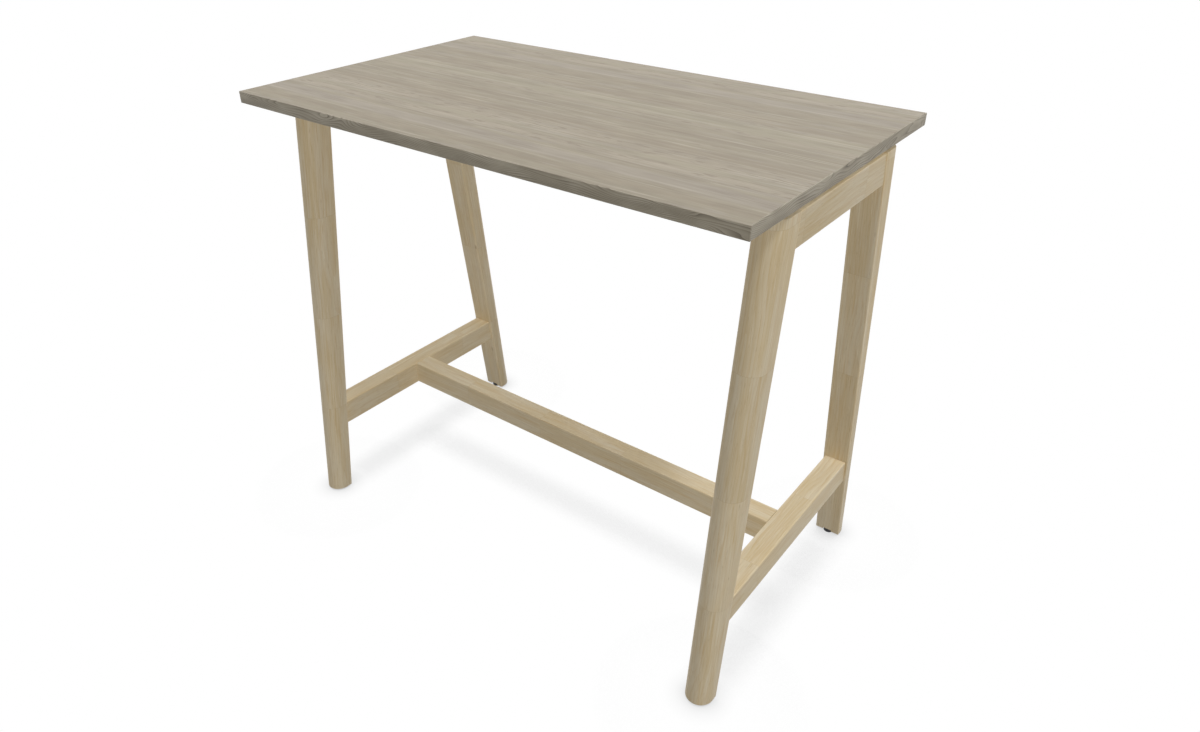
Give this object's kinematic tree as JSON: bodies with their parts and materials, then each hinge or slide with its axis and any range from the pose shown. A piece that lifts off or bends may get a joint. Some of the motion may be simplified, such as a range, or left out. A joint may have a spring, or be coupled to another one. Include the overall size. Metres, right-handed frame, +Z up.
{
  "type": "standing meeting table",
  "caption": "Bar-height rectangular table: banded laminate board spaced above splayed half-round wooden legs, end rails and a low central stretcher, on screw-out levelling feet.",
  "frame": {"origin": "on the floor at the centre of the table", "axes": "+X along the table to the right, +Y from the front to the back, +Z up"},
  "size_m": [1.2, 0.7, 1.05],
  "materials": {
    "worktop_laminate": "matt laminate with a grey-beige wood grain",
    "edge_band": "matt edge band with a wood grain",
    "frame_wood": "matt clear lacquer on pale wood",
    "joint_wood": "sawn and turned, unfinished",
    "zinc_steel": "bright zinc plating",
    "brass": "as machined",
    "black_plastic": "moulded, fine texture"
  },
  "bodies": {
    "table": {"worktop_board": "worktop_laminate", "edge_band_front": "edge_band", "edge_band_back": "edge_band", "edge_band_left": "edge_band", "edge_band_right": "edge_band", "leg_front_left": "frame_wood", "leg_front_right": "frame_wood", "leg_back_left": "frame_wood", "leg_back_right": "frame_wood", "top_rail_left": "frame_wood", "lower_rail_left": "frame_wood", "top_rail_right": "frame_wood", "lower_rail_right": "frame_wood", "stretcher": "frame_wood", "tenon_top_front_left": "joint_wood", "tenon_lower_front_left": "joint_wood", "tenon_top_front_right": "joint_wood", "tenon_lower_front_right": "joint_wood", "tenon_top_back_left": "joint_wood", "tenon_lower_back_left": "joint_wood", "tenon_top_back_right": "joint_wood", "tenon_lower_back_right": "joint_wood", "stretcher_stud_left": "zinc_steel", "stretcher_washer_left": "zinc_steel", "stretcher_nut_left": "zinc_steel", "stretcher_dowel_front_left": "joint_wood", "stretcher_dowel_back_left": "joint_wood", "stretcher_stud_right": "zinc_steel", "stretcher_washer_right": "zinc_steel", "stretcher_nut_right": "zinc_steel", "stretcher_dowel_front_right": "joint_wood", "stretcher_dowel_back_right": "joint_wood", "worktop_spacer_front_left": "black_plastic", "worktop_bolt_front_left": "zinc_steel", "worktop_insert_front_left": "brass", "worktop_spacer_front_right": "black_plastic", "worktop_bolt_front_right": "zinc_steel", "worktop_insert_front_right": "brass", "worktop_spacer_back_left": "black_plastic", "worktop_bolt_back_left": "zinc_steel", "worktop_insert_back_left": "brass", "worktop_spacer_back_right": "black_plastic", "worktop_bolt_back_right": "zinc_steel", "worktop_insert_back_right": "brass", "foot_sleeve_front_left": "brass", "foot_sleeve_front_right": "brass", "foot_sleeve_back_left": "brass", "foot_sleeve_back_right": "brass"},
    "pad_front_left": {"foot_pad_front_left": "black_plastic"},
    "stem_front_left": {"foot_stem_front_left": "zinc_steel"},
    "pad_front_right": {"foot_pad_front_right": "black_plastic"},
    "stem_front_right": {"foot_stem_front_right": "zinc_steel"},
    "pad_back_left": {"foot_pad_back_left": "black_plastic"},
    "stem_back_left": {"foot_stem_back_left": "zinc_steel"},
    "pad_back_right": {"foot_pad_back_right": "black_plastic"},
    "stem_back_right": {"foot_stem_back_right": "zinc_steel"}
  },
  "joints": [
    {"name": "foot_travel_front_left", "type": "slide", "parent": "table", "child": "pad_front_left", "axis": [0, 0, -1], "range_m": [0, 0.01]},
    {"name": "stem_turn_front_left", "type": "hinge", "parent": "pad_front_left", "child": "stem_front_left", "pos_m": [-0.567, -0.3093, 0.02], "axis": [0, 0, -1], "range_deg": [0, 2880]},
    {"name": "foot_travel_front_right", "type": "slide", "parent": "table", "child": "pad_front_right", "axis": [0, 0, -1], "range_m": [0, 0.01]},
    {"name": "stem_turn_front_right", "type": "hinge", "parent": "pad_front_right", "child": "stem_front_right", "pos_m": [0.567, -0.3093, 0.02], "axis": [0, 0, -1], "range_deg": [0, 2880]},
    {"name": "foot_travel_back_left", "type": "slide", "parent": "table", "child": "pad_back_left", "axis": [0, 0, -1], "range_m": [0, 0.01]},
    {"name": "stem_turn_back_left", "type": "hinge", "parent": "pad_back_left", "child": "stem_back_left", "pos_m": [-0.567, 0.3093, 0.02], "axis": [0, 0, -1], "range_deg": [0, 2880]},
    {"name": "foot_travel_back_right", "type": "slide", "parent": "table", "child": "pad_back_right", "axis": [0, 0, -1], "range_m": [0, 0.01]},
    {"name": "stem_turn_back_right", "type": "hinge", "parent": "pad_back_right", "child": "stem_back_right", "pos_m": [0.567, 0.3093, 0.02], "axis": [0, 0, -1], "range_deg": [0, 2880]}
  ],
  "couplings": [
    {"joint": "foot_travel_front_left", "follows": "stem_turn_front_left", "m_per_rad": 0.00019894},
    {"joint": "foot_travel_front_right", "follows": "stem_turn_front_right", "m_per_rad": 0.00019894},
    {"joint": "foot_travel_back_left", "follows": "stem_turn_back_left", "m_per_rad": 0.00019894},
    {"joint": "foot_travel_back_right", "follows": "stem_turn_back_right", "m_per_rad": 0.00019894}
  ]
}
